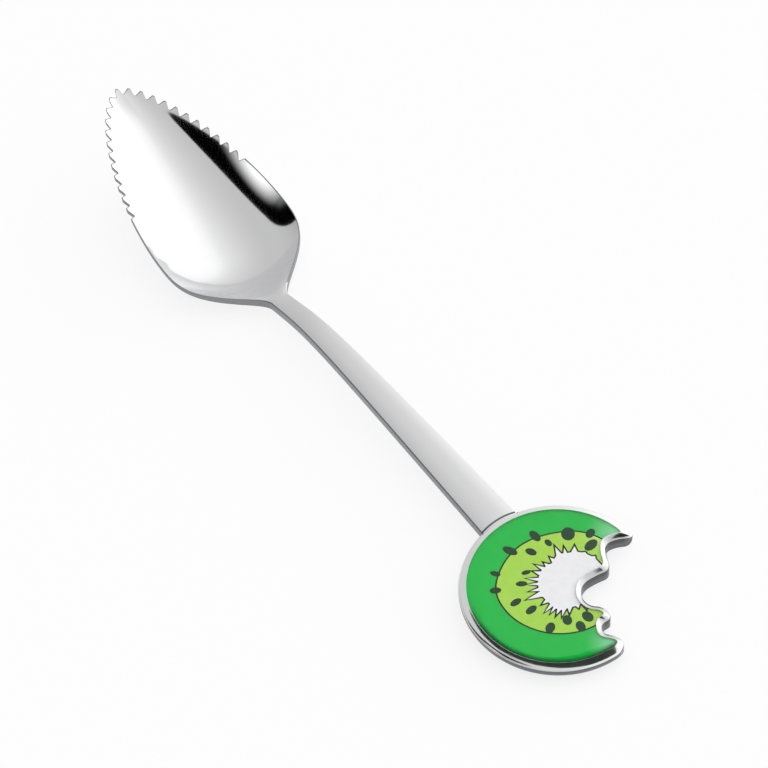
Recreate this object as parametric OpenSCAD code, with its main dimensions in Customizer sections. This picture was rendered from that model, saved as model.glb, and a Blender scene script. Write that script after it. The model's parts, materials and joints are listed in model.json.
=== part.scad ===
// Grapefruit spoon: a stamped steel spoon with a serrated, pointed bowl, its tang glued
// into the side of a cast medallion that carries a slice of kiwi fruit in coloured enamel.
// The pieces are drawn in the medallion's own frame, with its face at z = 0 and its centre
// at x = 0, and are then laid on a table, on the bowl's belly and the medallion's far edge.

/* [Whole spoon] */
// Length from the tip tooth to the medallion's far edge
overall_length = 165; // [155:1:175]

/* [Bowl] */
// Width of the bowl at its widest line
bowl_width = 29.4; // [27:0.2:32]
// Length of the pointed front, from the tip tooth to the widest line
bowl_front = 38.6; // [36:0.2:42]
// Length of the rounded back, from the widest line to the neck
bowl_rear = 22; // [20:0.5:25]
// Depth of the hollow below the rim
bowl_depth = 5.8; // [5:0.1:6.8]
// Height of the tip above the lowest point of the rim
bowl_rise = 12.6; // [10:0.2:14]
// Sheet thickness of the bowl
bowl_sheet = 0.9; // [0.8:0.05:1.2]

/* [Teeth] */
// Distance between teeth along the edge
tooth_pitch = 2.63; // [2.4:0.01:2.8]
// Depth of the notches between the teeth
tooth_depth = 0.95; // [0.6:0.05:1.2]
// Notches on each side of the tip
notches_each_side = 12; // [8:1:12]
// Width of the blunt end of a tooth
tooth_flat = 0.5; // [0.3:0.05:0.8]
// Width of the floor of a notch
notch_floor = 0.35; // [0.2:0.05:0.6]

/* [Handle] */
// Width of the neck, the narrowest place
neck_width = 4.1; // [3.6:0.1:5]
// Width of the handle where it meets the medallion
handle_end_width = 7.4; // [6.6:0.1:8.2]
// Thickness of the neck
neck_thickness = 1.9; // [1.7:0.05:2.4]
// Thickness of the handle where it meets the medallion
handle_end_thickness = 1.8; // [1.7:0.05:2.1]
// Drop of the neck below the flat of the handle
neck_drop = 6; // [5:0.1:7]
// Reach of the rise that follows the neck
rise_reach = 12.9; // [11:0.1:15]
// Rise of the middle of the handle's face above its edges
handle_crown = 0.25; // [0.1:0.05:0.35]
// Broken edge all round the blank
edge_break = 0.25; // [0.15:0.05:0.35]

/* [Medallion] */
// Outer diameter of the casting
medallion_d = 33.5; // [31:0.1:36]
// Thickness of the casting, rim and all
medallion_thickness = 3.5; // [3.4:0.1:4.2]
// Height of the rim above the clear coat
rim_height = 0.15; // [0.05:0.05:0.25]
// Step from the rim's top down to the handle's face
handle_step = 0.75; // [0.6:0.05:0.85]
// Width of the rim on the round side, as a share of the medallion's radius
rim_share = 0.084; // [0.076:0.002:0.1]
// Width of the rim along the bites, as a share of the medallion's radius
bite_rim_share = 0.06; // [0.05:0.002:0.066]
// Share of the rim's width that slopes
slope_share = 0.71; // [0.6:0.01:0.72]
// Fall of the rim's sloped face towards the outside
slope_fall = 0.45; // [0.3:0.05:0.5]
// Radius of the back's outer edge
back_round = 2.4; // [1.6:0.1:2.4]

/* [Enamel] */
// Thickness of the coloured enamel
enamel_thickness = 0.3; // [0.25:0.05:0.35]
// Thickness of the clear coat over it
coat_thickness = 0.25; // [0.2:0.05:0.3]
// Width of the dark line round each field
line_width = 0.24; // [0.2:0.02:0.36]
// Mean radius of the flesh, as a share of the medallion's radius
flesh_share = 0.615; // [0.59:0.005:0.64]
// Radius of the white core between its rays, as a share of the medallion's radius
core_share = 0.345; // [0.32:0.005:0.36]
// Length of the longest rays of the core, as a share of the medallion's radius
ray_share = 0.125; // [0.06:0.005:0.14]
// Number of rays of the core
ray_count = 40; // [28:1:44]
// Length of a seed of mean size, as a share of the medallion's radius
seed_share = 0.118; // [0.09:0.002:0.13]

/* [Joint] */
// Width of the tang
tang_width = 5.2; // [4.6:0.1:6]
// Metal left between the tang's socket and the enamel's pocket
socket_roof = 0.3; // [0.25:0.05:0.35]
// Step from the handle's underside up to the tang's
tang_step = 0.1; // [0.05:0.05:0.2]
// Length of the tang beyond its shoulder
tang_length = 7; // [5:0.5:8]
// Thickness of the glue round the tang
glue_gap = 0.12; // [0.08:0.01:0.15]
// Depth of the recess in the rim's wall that takes the handle's end
recess_depth = 0.85; // [0.7:0.05:1]
// Gap between the handle's end and the recess
recess_gap = 0.12; // [0.08:0.01:0.16]

/* [Hidden] */

// Overrun of every cut past the face that it leaves
overrun = 1;

// Places along the spoon, from the medallion's centre
medallion_r = medallion_d / 2;
bowl_half = bowl_width / 2;
tip_x = medallion_r - overall_length;
widest_x = tip_x + bowl_front;
neck_x = widest_x + bowl_rear;
shoulder_x = recess_depth - medallion_r;
tang_end_x = shoulder_x + tang_length;

// Share of the bowl's rear at which the rim is lowest
low_rim_share = 0.735;
low_rim_x = widest_x + bowl_rear * low_rim_share;

// Widths of the rim, and of its slope
rim_width = rim_share * medallion_r;
bite_rim_width = bite_rim_share * medallion_r;
slope_width = slope_share * rim_width;

// Levels of the medallion, its face being zero
rim_top = rim_height;
pocket_floor = -(coat_thickness + enamel_thickness);
medallion_back = rim_height - medallion_thickness;
enamel_r = medallion_r - rim_width;
handle_top = rim_top - handle_step;
handle_bottom = handle_top - handle_end_thickness;
tang_top = pocket_floor - socket_roof - glue_gap;
tang_bottom = handle_bottom + tang_step;
tang_thickness = tang_top - tang_bottom;

// Bends of the outline, of the rim line and of the hollow, as powers
nose_power = 1.8;
nose_blunt_power = 0.62;
shoulder_power = 1.58;
rim_line_power = 1.385;
rise_power = 2.3;
hollow_power = 2.1;
front_hollow_power = 1.3;
rear_hollow_power = 1.3;

function clamp(v) = max(0, min(1, v));

// Share of the bowl's fullness left at x, behind the widest line
function shoulder(x) = (1 + cos(180 * pow(clamp((x - widest_x) / bowl_rear), shoulder_power))) / 2;

// Share of the bowl's width at x, before the widest line
function nose(x) =
    pow(1 - pow(1 - clamp((x - tip_x) / bowl_front), nose_power), nose_blunt_power);

function along_handle(x) = clamp((x - neck_x) / (shoulder_x - neck_x));
function handle_half(x) = (neck_width + (handle_end_width - neck_width) * along_handle(x)) / 2;
function half_width(x) = x <= widest_x ? bowl_half * nose(x)
    : handle_half(x) + (bowl_half - handle_half(x)) * shoulder(x);

// Height of the upper edge at x: the rim line of the bowl, then the rise to the flat handle
function edge_height(x) = x <= low_rim_x
    ? handle_top - neck_drop
        + bowl_rise * pow((low_rim_x - x) / (low_rim_x - tip_x), rim_line_power)
    : handle_top - neck_drop / (1 + pow((x - low_rim_x) / rise_reach, rise_power));

// Depth of the hollow on the centre line at x, and the crown that the handle has instead
function hollow(x) = bowl_depth
    * (x <= widest_x ? pow(nose(x), front_hollow_power) : pow(shoulder(x), rear_hollow_power));
function crown(x) = x <= widest_x ? 0 : handle_crown * (1 - shoulder(x));

function across(x, y) = half_width(x) > 0 ? clamp(abs(y) / half_width(x)) : 1;
function inboard(x, y) = 1 - pow(across(x, y), hollow_power);
function upper_z(x, y) = edge_height(x) + (crown(x) - hollow(x)) * inboard(x, y);

// Thickness of the blank at x, and its upright measure where the wall leans
function handle_thickness(x) =
    neck_thickness + (handle_end_thickness - neck_thickness) * along_handle(x);
function sheet(x) = bowl_sheet + (handle_thickness(x) - bowl_sheet) * (1 - shoulder(x));
function lean(x, y) = half_width(x) > bowl_sheet
    ? hollow_power * hollow(x) * pow(across(x, y), hollow_power - 1) / half_width(x) : 1;
function upright_sheet(x, y) =
    sheet(x) * sqrt(1 + pow(min(1, lean(x, y)), 2)) + crown(x) * inboard(x, y);

// The front outline by its length from the tip, measured on short chords
outline_steps = 80;
front_points = [for (k = [0:outline_steps])
    let (x = tip_x + bowl_front * pow(k / outline_steps, 2)) [x, half_width(x)]];
function chord(k) = norm(front_points[k] - front_points[k - 1]);
function chords_to(k) = k == 0 ? 0 : chords_to(k - 1) + chord(k);
front_table = [for (k = [0:outline_steps]) [chords_to(k), front_points[k][0]]];
front_length = chords_to(outline_steps);
function front_x(s) = lookup(s, front_table);
function front_point(s) = [front_x(s), half_width(front_x(s))];

// Inward normal of the front outline at length s, level with the axis at the tip
function front_inward(s) = let (
    probe = tooth_pitch / 4,
    ahead = front_point(s + probe),
    behind = s > probe ? front_point(s - probe) : [ahead[0], -ahead[1]],
    along = (ahead - behind) / norm(ahead - behind))
    s == 0 ? [1, 0] : [along[1], -along[0]];

// Ribs of the blank: each runs from a point on the centre line to a point on the edge.
// The first three fan out from one point behind the tip, the rest of the front's ribs from
// points that move back from there, and the others stand square to the axis.
fan_share = 0.4;
fan_x = tip_x + bowl_front * fan_share;
fan_ribs = 3;
fan_length = (tooth_pitch - notch_floor) / 2;
function spine_share(s) = clamp((s - fan_length) / (front_length - fan_length));
function front_rib(s, depth) =
    [[fan_x + (widest_x - fan_x) * spine_share(s), 0],
     front_point(s) + depth * front_inward(s), false];
function square_rib(x) = [[x, 0], [x, half_width(x)], false];
function tang_rib(x) = [[x, 0], [x, tang_width / 2], true];
function notch_ribs(k) = let (middle = (k + 0.5) * tooth_pitch, end = (k + 1) * tooth_pitch) [
    front_rib(middle - notch_floor / 2, tooth_depth),
    front_rib(middle + notch_floor / 2, tooth_depth),
    front_rib(end - tooth_flat / 2, 0),
    if (k < notches_each_side - 1) front_rib(end + tooth_flat / 2, 0)];

// Shares of each smooth stretch at which the blank has a rib
rim_shares = [0.2, 0.4, 0.6, 0.8, 1];
rear_shares = [0.1, 0.2, 0.3, 0.4, 0.5, 0.58, 0.66, 0.74, 0.81, 0.88, 0.94, 1];
handle_shares = [0.035, 0.07, 0.105, 0.14, 0.18, 0.22, 0.27, 0.33, 0.4, 0.5, 0.65, 0.82, 1];
teeth_length = notches_each_side * tooth_pitch;
rim_s = [for (a = rim_shares) teeth_length + (front_length - teeth_length) * a];
square_x = concat([for (a = rear_shares) widest_x + bowl_rear * a],
                  [for (a = handle_shares) neck_x + (shoulder_x - neck_x) * a]);

ribs = concat([front_rib(0, 0), front_rib(tooth_flat / 2, 0)],
              [for (k = [0:notches_each_side - 1]) each notch_ribs(k)],
              [for (s = rim_s) front_rib(s, 0)],
              [for (x = square_x) square_rib(x)],
              [tang_rib(shoulder_x), tang_rib(tang_end_x)]);

// Shares of a rib, short of its broken edge, at which its section has a point
ring_shares = [0, 0.34, 0.62, 0.84, 1];
ring_count = len(ring_shares);
section_count = 2 * ring_count + 2;

function rib_upper(r, p) = r[2] ? tang_top : upper_z(p[0], p[1]);
function rib_sheet(r, p) = r[2] ? tang_thickness : upright_sheet(p[0], p[1]);
function rib_point(r, share) = let (reach = norm(r[1] - r[0]))
    r[0] + (r[1] - r[0]) * share * (reach - edge_break) / reach;

// Section of a rib: its upper face outwards, its edge, then its lower face inwards
function section(r) = concat(
    [for (a = ring_shares) let (p = rib_point(r, a)) [p[0], p[1], rib_upper(r, p)]],
    [[r[1][0], r[1][1], rib_upper(r, r[1]) - edge_break],
     [r[1][0], r[1][1], rib_upper(r, r[1]) - rib_sheet(r, r[1]) + edge_break]],
    [for (i = [ring_count - 1:-1:0]) let (p = rib_point(r, ring_shares[i]))
        [p[0], p[1], rib_upper(r, p) - rib_sheet(r, p)]]);

right_points = [for (r = ribs) each section(r)];
left_points = [for (p = right_points) [p[0], -p[1], p[2]]];

// Number of a point: the two sides share the tip rib and every point on the centre line,
// and the ribs of the fan share their first and last points
function on_spine(j) = j == 0 || j == section_count - 1;
function number_of(side, i, j) = on_spine(j) ? (i < fan_ribs ? 0 : i) * section_count + j
    : i * section_count + j + (side == 1 && i > 0 ? len(right_points) : 0);
function turned(side, face) = side == 0 ? face : [face[2], face[1], face[0]];
function distinct(face) = face[0] != face[1] && face[1] != face[2] && face[2] != face[0];
function patch(side, i, j) = let (
    a = number_of(side, i, j), b = number_of(side, i, j + 1),
    c = number_of(side, i + 1, j + 1), d = number_of(side, i + 1, j))
    [turned(side, [a, b, c]), turned(side, [a, c, d])];
last_rib = len(ribs) - 1;
end_cap = [for (side = [0, 1], j = [0:ring_count - 1]) let (
    a = number_of(side, last_rib, j), b = number_of(side, last_rib, j + 1),
    c = number_of(side, last_rib, section_count - 2 - j),
    d = number_of(side, last_rib, section_count - 1 - j))
    each [turned(side, [a, b, c]), turned(side, [a, c, d])]];
blank_patches =
    [for (side = [0, 1], i = [0:last_rib - 1], j = [0:section_count - 2]) each patch(side, i, j)];
blank_faces = concat([for (face = blank_patches) if (distinct(face)) face], end_cap);

module spoon_blank_shape() {
    polyhedron(points = concat(right_points, left_points), faces = blank_faces);
}

// Bitten edge of the medallion, as corners of a frame in shares of its radius, from the
// upper horn down to the deepest bite and out to the lower horn. Rounding smooths them.
bite_shares = [[-0.16, 1.14], [0.005, 0.99], [-0.02, 0.92], [-0.075, 0.83], [-0.1, 0.71],
               [-0.015, 0.635], [0.178, 0.555], [0.142, 0.39], [0.138, 0.21], [0.257, 0.105],
               [0.385, 0.112], [0.478, 0.22], [0.638, 0.208], [0.622, 0.07], [0.72, 0.015],
               [0.81, 0.105], [0.93, 0.128], [0.985, 0.03], [1.11, -0.17], [1.6, 1.6]];
bite_corners = bite_shares * medallion_r;

// One round of corner cutting on a closed outline
function softened(points) = [for (i = [0:len(points) - 1])
    let (a = points[i], b = points[(i + 1) % len(points)]) each [a * 0.75 + b * 0.25, a * 0.25 + b * 0.75]];

function unit(v) = v / norm(v);
function outward(a, b) = let (t = unit(b - a)) [t[1], -t[0]];

// A closed outline, drawn anticlockwise, with every side moved outwards by d
function grown(points, d) = [for (i = [0:len(points) - 1])
    let (n = len(points),
         before = outward(points[(i + n - 1) % n], points[i]),
         after = outward(points[i], points[(i + 1) % n]))
    points[i] + d * (before + after) / (1 + before * after)];

module bites(rim) {
    translate([0, 0, medallion_back - overrun])
        linear_extrude(medallion_thickness + 2 * overrun)
            polygon(softened(softened(grown(bite_corners, rim))));
}

// The rim's slope is as steep along the bites as on the round side, and ends in a round
// edge that fills what the flat top and the slope leave of the rim's width
slope_angle = atan2(slope_fall, slope_width);
flat_width = rim_height;
rim_round = (rim_width - flat_width - slope_width) / (1 - sin(slope_angle));
slope_end = [medallion_r - rim_width + flat_width + slope_width, rim_top - slope_fall];
rim_round_centre = slope_end - rim_round * [sin(slope_angle), cos(slope_angle)];
bite_slope_width = slope_share * bite_rim_width;
bite_slope_fall = slope_fall * bite_rim_width / rim_width;

// Ring that cuts the slope along the bites: at each corner of their outline it has a foot
// outside the casting, a point where the slope meets the flat top, and two points above
function bite_outline(grow) = softened(softened(grown(bite_corners, grow)));
function at_level(points, level) = [for (p = points) [p[0], p[1], level]];
slope_rings = [
    at_level(bite_outline(-bite_slope_width), rim_top - 2 * bite_slope_fall),
    at_level(bite_outline(bite_slope_width), rim_top),
    at_level(bite_outline(bite_slope_width), rim_top + overrun),
    at_level(bite_outline(-bite_slope_width), rim_top + overrun)];
module bite_slope() {
    count = len(slope_rings[0]);
    polyhedron(
        points = [for (ring = slope_rings) each ring],
        faces = [for (j = [0:3], i = [0:count - 1]) let (
            a = j * count + i, b = j * count + (i + 1) % count,
            c = (j + 1) % 4 * count + (i + 1) % count, d = (j + 1) % 4 * count + i)
            each [[a, c, b], [a, d, c]]]);
}

// Section of the casting: flat back, rounded back edge, wall, rounded edge and sloped rim
arc_steps = 6;
function arc_points(centre, r, from, to) = [for (i = [0:arc_steps])
    let (a = from + (to - from) * i / arc_steps) centre + r * [cos(a), sin(a)]];
casting_section = concat(
    [[0, medallion_back]],
    arc_points([medallion_r - back_round, medallion_back + back_round], back_round, -90, 0),
    arc_points(rim_round_centre, rim_round, 0, 90 - slope_angle),
    [[medallion_r - rim_width + flat_width, rim_top], [0, rim_top]]);

// The face of the pocket inside the rim, as a layer between two levels
module pocket_layer(from, to) {
    difference() {
        translate([0, 0, from]) cylinder(h = to - from, r = enamel_r, $fn = 96);
        bites(bite_rim_width);
    }
}

// A box round the tang's line, grown by a gap on its sides
module tang_box(from_x, to_x, width, top, bottom, gap) {
    translate([from_x, -width / 2 - gap, bottom - gap])
        cube([to_x - from_x, width + 2 * gap, top - bottom + 2 * gap]);
}

module medallion_casting_shape() {
    difference() {
        rotate_extrude($fn = 96) polygon(casting_section);
        bites(0);
        bite_slope();
        pocket_layer(pocket_floor, rim_top + overrun);
        tang_box(-medallion_r - overrun, shoulder_x, handle_end_width,
                 handle_top + handle_crown, handle_bottom, recess_gap);
        tang_box(shoulder_x - overrun, tang_end_x + glue_gap, tang_width,
                 tang_top, tang_bottom, glue_gap);
    }
}

module tang_adhesive_shape() {
    difference() {
        tang_box(shoulder_x, tang_end_x + glue_gap, tang_width,
                 tang_top, tang_bottom, glue_gap);
        tang_box(shoulder_x - overrun, tang_end_x, tang_width,
                 tang_top, tang_bottom, 0);
    }
}

// Sizes of the picture, which grows with the medallion that carries it
flesh_radius = flesh_share * medallion_r;
core_radius = core_share * medallion_r;
ray_length = ray_share * medallion_r;
seed_length = seed_share * medallion_r;

// Outline of the flesh: its radius at even steps of angle, in shares of the mean
flesh_radius_shares = [1, 1.06, 1.15, 1.23, 1.17, 1.03, 1.01, 0.99, 1.04, 0.98, 0.94, 0.95];
flesh_corners = [for (i = [0:len(flesh_radius_shares) - 1])
    let (a = 360 * i / len(flesh_radius_shares))
    flesh_radius * flesh_radius_shares[i] * [cos(a), sin(a)]];
function flesh_outline(grow) = softened(softened(softened(grown(flesh_corners, grow))));

// Centre of the core, in shares of the medallion's radius
core_centre_share = [0.068, 0.146];
core_centre = core_centre_share * medallion_r;

// Rays of the core: two slow waves of different length give each its own reach and lean
function ray_reach(k) = ray_length * (0.56 + 0.26 * sin(137 * k) + 0.18 * sin(71 * k + 40));
function ray_lean(k) = 0.16 * sin(97 * k);
function on_core(a, r) = core_centre + r * [cos(a), sin(a)];
function core_outline(grow) = [for (k = [0:ray_count - 1])
    let (step = 360 / ray_count, valley = core_radius + grow, widen = grow / core_radius * 60)
    each [on_core((k - 0.36) * step - widen / 2, valley),
          on_core((k + ray_lean(k)) * step, core_radius + ray_reach(k) + 2 * grow),
          on_core((k + 0.36) * step + widen / 2, valley)]];

// Seeds: angle in degrees, distance in shares of the flesh's radius, size in shares of the
// mean seed and tilt away from the radial line in degrees
seed_shares = [[114, 1.13, 0.95, 40], [131, 1.04, 1.35, 92], [152, 0.84, 0.85, 25],
               [163, 1.04, 1.15, 15], [176, 0.78, 1.1, 28], [192, 1.03, 1.4, 12],
               [209, 0.57, 0.8, 30], [220, 1.04, 1.05, 25], [231, 0.58, 1.05, 35],
               [239, 1.02, 1.15, 25], [259, 0.76, 1.15, -10], [281, 0.65, 1.2, -15],
               [314, 0.85, 1.1, -5], [336, 0.69, 0.9, 12], [348, 0.86, 1.05, -2],
               [0, 0.78, 1.1, -8], [107, 0.95, 1.45, -35]];
seed_slimness = 0.56;
seed_sides = 16;
function seed_outline(s) = let (
    centre = flesh_radius * s[1] * [cos(s[0]), sin(s[0])],
    long = seed_length * s[2] / 2, wide = long * seed_slimness, turn = s[0] + s[3])
    [for (i = [0:seed_sides - 1]) let (a = 360 * i / seed_sides)
        centre + long * cos(a) * [cos(turn), sin(turn)]
               + wide * sin(a) * [-sin(turn), cos(turn)]];

// A prism through the enamel's layer, with an overrun at both faces where it cuts
module enamel_prism(outline, extra) {
    translate([0, 0, pocket_floor - extra])
        linear_extrude(enamel_thickness + 2 * extra) polygon(outline);
}

module seeds(extra) {
    for (s = seed_shares) enamel_prism(seed_outline(s), extra);
}

module skin_enamel_shape() {
    difference() {
        pocket_layer(pocket_floor, -coat_thickness);
        enamel_prism(flesh_outline(line_width), overrun);
        seeds(overrun);
    }
}

module flesh_enamel_shape() {
    difference() {
        enamel_prism(flesh_outline(0), 0);
        enamel_prism(core_outline(line_width), overrun);
        bites(bite_rim_width);
        seeds(overrun);
    }
}

module core_enamel_shape() {
    difference() {
        enamel_prism(core_outline(0), 0);
        bites(bite_rim_width);
        seeds(overrun);
    }
}

module outline_enamel_shape() {
    difference() {
        enamel_prism(flesh_outline(line_width), 0);
        enamel_prism(flesh_outline(0), overrun);
        bites(bite_rim_width);
        seeds(overrun);
    }
    difference() {
        enamel_prism(core_outline(line_width), 0);
        enamel_prism(core_outline(0), overrun);
        bites(bite_rim_width);
        seeds(overrun);
    }
}

// The spoon on the table: it leans until the belly and the medallion's far edge are level
belly_points = [for (r = ribs) if (!r[2]) [r[0][0], upper_z(r[0][0], 0) - upright_sheet(r[0][0], 0)]];
function lowered(p, lean_angle) = p[1] * cos(lean_angle) - p[0] * sin(lean_angle);
function belly_level(lean_angle) = min([for (p = belly_points) lowered(p, lean_angle)]);
function edge_level(lean_angle) =
    lowered([medallion_r - back_round, medallion_back + back_round], lean_angle) - back_round;
max_lean = 15;
halvings = 30;
function settled(low, high, left) = let (middle = (low + high) / 2)
    left == 0 ? middle
    : belly_level(middle) < edge_level(middle) ? settled(middle, high, left - 1)
    : settled(low, middle, left - 1);
lean_angle = settled(0, max_lean, halvings);
function shifted_x(p) = p[0] * cos(lean_angle) + p[1] * sin(lean_angle);
table_tip_x = shifted_x([tip_x, edge_height(tip_x) - edge_break]);
table_far_x = shifted_x([medallion_r, rim_round_centre[1]]);

module on_table() {
    translate([-(table_tip_x + table_far_x) / 2, 0, -edge_level(lean_angle)])
        rotate([0, lean_angle, 0])
            children();
}

module spoon_blank() {
    color("gainsboro") on_table() spoon_blank_shape();
}

module medallion_casting() {
    color("silver") on_table() medallion_casting_shape();
}

module tang_adhesive() {
    color("khaki") on_table() tang_adhesive_shape();
}

module skin_enamel() {
    color("mediumseagreen") on_table() skin_enamel_shape();
}

module flesh_enamel() {
    color("yellowgreen") on_table() flesh_enamel_shape();
}

module core_enamel() {
    color("whitesmoke") on_table() core_enamel_shape();
}

module seed_enamel() {
    color("darkslategray") on_table() seeds(0);
}

module outline_enamel() {
    color("black") on_table() outline_enamel_shape();
}

module clear_coat() {
    color("white", 0.3) on_table() pocket_layer(-coat_thickness, 0);
}

spoon_blank();
medallion_casting();
tang_adhesive();
skin_enamel();
flesh_enamel();
core_enamel();
seed_enamel();
outline_enamel();
clear_coat();
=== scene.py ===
# Grapefruit spoon: the looks of a stamped steel spoon with a serrated bowl, glued into the side
# of a cast and plated medallion that is filled with coloured enamel under a clear resin dome.
# Pieces are worked out in millimetres in the medallion's own frame, with its face at z = 0 and
# its centre at x = 0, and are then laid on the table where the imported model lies.

import json
import math
from functools import partial

import bpy
import numpy as np
from mathutils import Matrix, Vector, geometry


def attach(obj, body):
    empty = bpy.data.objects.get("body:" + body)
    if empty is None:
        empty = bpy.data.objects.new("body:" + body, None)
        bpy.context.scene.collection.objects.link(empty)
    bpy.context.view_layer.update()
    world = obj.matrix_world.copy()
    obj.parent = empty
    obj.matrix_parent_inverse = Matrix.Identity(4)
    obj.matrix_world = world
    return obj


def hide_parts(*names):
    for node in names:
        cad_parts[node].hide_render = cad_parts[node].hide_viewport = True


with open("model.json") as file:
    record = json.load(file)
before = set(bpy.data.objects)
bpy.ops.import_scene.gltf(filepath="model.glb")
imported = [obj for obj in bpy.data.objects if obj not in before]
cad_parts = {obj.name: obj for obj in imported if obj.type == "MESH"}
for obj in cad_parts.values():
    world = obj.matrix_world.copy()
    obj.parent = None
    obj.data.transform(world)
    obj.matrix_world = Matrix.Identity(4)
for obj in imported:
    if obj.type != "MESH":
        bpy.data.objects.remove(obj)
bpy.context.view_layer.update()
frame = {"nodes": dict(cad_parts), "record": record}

mm = 0.001  # one millimetre in metres
tolerance = 1e-5  # mm within which two points are one


# The medallion's frame

medallion = {
    "diameter": 33.5,
    "thickness": 3.5,
    "rimHeight": 0.15,
    "rimWidth": 1.407,
    "biteRimWidth": 1.005,
    "pocketFloor": -0.55,
    "mountPoint": (-3.0, -3.0),
}
medallionRadius = medallion["diameter"] / 2
medallionBack = medallion["rimHeight"] - medallion["thickness"]

backMount = next(m for m in frame["record"]["mounts"] if m["name"] == "medallion_back")
leanAngle = math.atan2(-backMount["axis"][0], -backMount["axis"][2])
leanTurn = Matrix.Rotation(leanAngle, 4, "Y")
mountLocal = Vector((*medallion["mountPoint"], medallionBack)) * mm
tablePlace = Matrix.Translation(Vector(backMount["pos_m"]) - leanTurn @ mountLocal) @ leanTurn
turnArray = np.array(tablePlace.to_3x3())
moveArray = np.array(tablePlace.translation)


def onTable(points):
    return np.asarray(points) * mm @ turnArray.T + moveArray


def clamp01(values):
    return np.clip(values, 0.0, 1.0)


# The camera: a long lens above the handle's far side

camera = {
    "lens": 94.69,
    "sensor": 36.0,
    "pixels": 768,
    "middlePixel": 383.5,
    "place": (149.3456, -112.9299, 288.2814),
    "right": (0.56793, 0.81970, -0.07448),
    "down": (0.61434, -0.48238, -0.62441),
}


def cameraAxes():
    right = Vector(camera["right"]).normalized()
    up = -Vector(camera["down"])
    up = (up - up.dot(right) * right).normalized()
    return right, up, right.cross(up)


def makeCamera():
    lens = bpy.data.cameras.new("photoCamera")
    lens.lens, lens.sensor_width = camera["lens"], camera["sensor"]
    lens.clip_start = 0.01
    lens.clip_end = 20
    holder = bpy.data.objects.new("photoCamera", lens)
    bpy.context.scene.collection.objects.link(holder)
    turn = Matrix(cameraAxes()).transposed()
    holder.matrix_world = tablePlace @ Matrix.Translation(Vector(camera["place"]) * mm) @ turn.to_4x4()
    bpy.context.scene.camera = holder


makeCamera()
print("camera set")


# Meshes

def makeObject(name, points, faces, replaced=(), normals=None, facesMaterial=None):
    mesh = bpy.data.meshes.new(name)
    mesh.from_pydata([tuple(p) for p in onTable(points)], [], [tuple(int(i) for i in f) for f in faces])
    mesh.validate()
    mesh.update()
    mesh.shade_smooth()
    if facesMaterial is not None:
        mesh.polygons.foreach_set("material_index", np.asarray(facesMaterial, dtype=np.int32))
    if normals is not None:  # a zero normal leaves the corner to the mesh's own smoothing
        turned = np.asarray(normals) @ turnArray.T
        mesh.normals_split_custom_set_from_vertices([tuple(n) for n in turned])
    piece = bpy.data.objects.new(name, mesh)
    bpy.context.scene.collection.objects.link(piece)
    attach(piece, "root")
    if replaced:
        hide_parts(*replaced)
    return piece


# Spoon blank: the outline, the rim line and the hollow, as the die cuts and draws them

blank = {
    "overallLength": 165.0,
    "bowlWidth": 29.4,
    "bowlFront": 38.6,
    "bowlRear": 22.0,
    "bowlDepth": 5.8,
    "bowlRise": 12.6,
    "sheet": 0.9,
    "toothPitch": 2.63,
    "toothDepth": 0.95,
    "notches": 12,
    "toothFlat": 0.5,
    "notchFloor": 0.35,
    "neckWidth": 4.1,
    "endWidth": 7.4,
    "neckThickness": 1.9,
    "endThickness": 1.8,
    "neckDrop": 6.0,
    "riseReach": 12.9,
    "crown": 0.36,
    "crownPower": 2.4,
    "edgeBreak": 0.25,
    "recessDepth": 0.85,
    "tangWidth": 5.2,
    "tangLength": 7.0,
    "handleTop": -0.6,
    "tangLevels": (-0.97, -2.3),
    "lowRimShare": 0.735,
    "nosePowers": (1.8, 0.62),
    "shoulderPower": 1.58,
    "rimLinePower": 1.385,
    "risePower": 2.3,
    "hollowPower": 2.1,
    "frontHollowPower": 1.3,
    "rearHollowPower": 1.3,
    "fanShare": 0.4,  # how far down the bowl's middle the ribs of its front fan out
    "edgeSamples": 4001,
    "slopeStep": 0.03,
    "leastWidth": 0.001,
    "rimRibs": 31,  # ribs run from the middle to the edge, and rings cross them
    "rearRibs": 61,
    "handleRibs": 71,
    "handleRibPower": 1.3,
    "faceRings": 27,
    "faceRingPower": 1.4,
    "pushPower": 6,  # keeps the teeth's notches close to the edge
}
tipX = medallionRadius - blank["overallLength"]
widestX = tipX + blank["bowlFront"]
neckX = widestX + blank["bowlRear"]
shoulderX = blank["recessDepth"] - medallionRadius
lowRimX = widestX + blank["bowlRear"] * blank["lowRimShare"]
handleTop = blank["handleTop"]
bowlHalf = blank["bowlWidth"] / 2


def shoulderAt(x):
    t = clamp01((x - widestX) / blank["bowlRear"]) ** blank["shoulderPower"]
    return (1 + np.cos(math.pi * t)) / 2


def noseAt(x):
    nosePower, bluntPower = blank["nosePowers"]
    return (1 - (1 - clamp01((x - tipX) / blank["bowlFront"])) ** nosePower) ** bluntPower


def alongHandle(x):
    return clamp01((x - neckX) / (shoulderX - neckX))


def halfWidth(x):
    handleHalf = (blank["neckWidth"] + (blank["endWidth"] - blank["neckWidth"]) * alongHandle(x)) / 2
    behind = handleHalf + (bowlHalf - handleHalf) * shoulderAt(x)
    return np.where(x <= widestX, bowlHalf * noseAt(x), behind)


def edgeHeight(x):
    towardsTip = np.clip((lowRimX - x) / (lowRimX - tipX), 0, None) ** blank["rimLinePower"]
    front = handleTop - blank["neckDrop"] + blank["bowlRise"] * towardsTip
    pastLow = np.clip((x - lowRimX) / blank["riseReach"], 0, None) ** blank["risePower"]
    return np.where(x <= lowRimX, front, handleTop - blank["neckDrop"] / (1 + pastLow))


def hollowAt(x):
    front = noseAt(x) ** blank["frontHollowPower"]
    rear = shoulderAt(x) ** blank["rearHollowPower"]
    return blank["bowlDepth"] * np.where(x <= widestX, front, rear)


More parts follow.
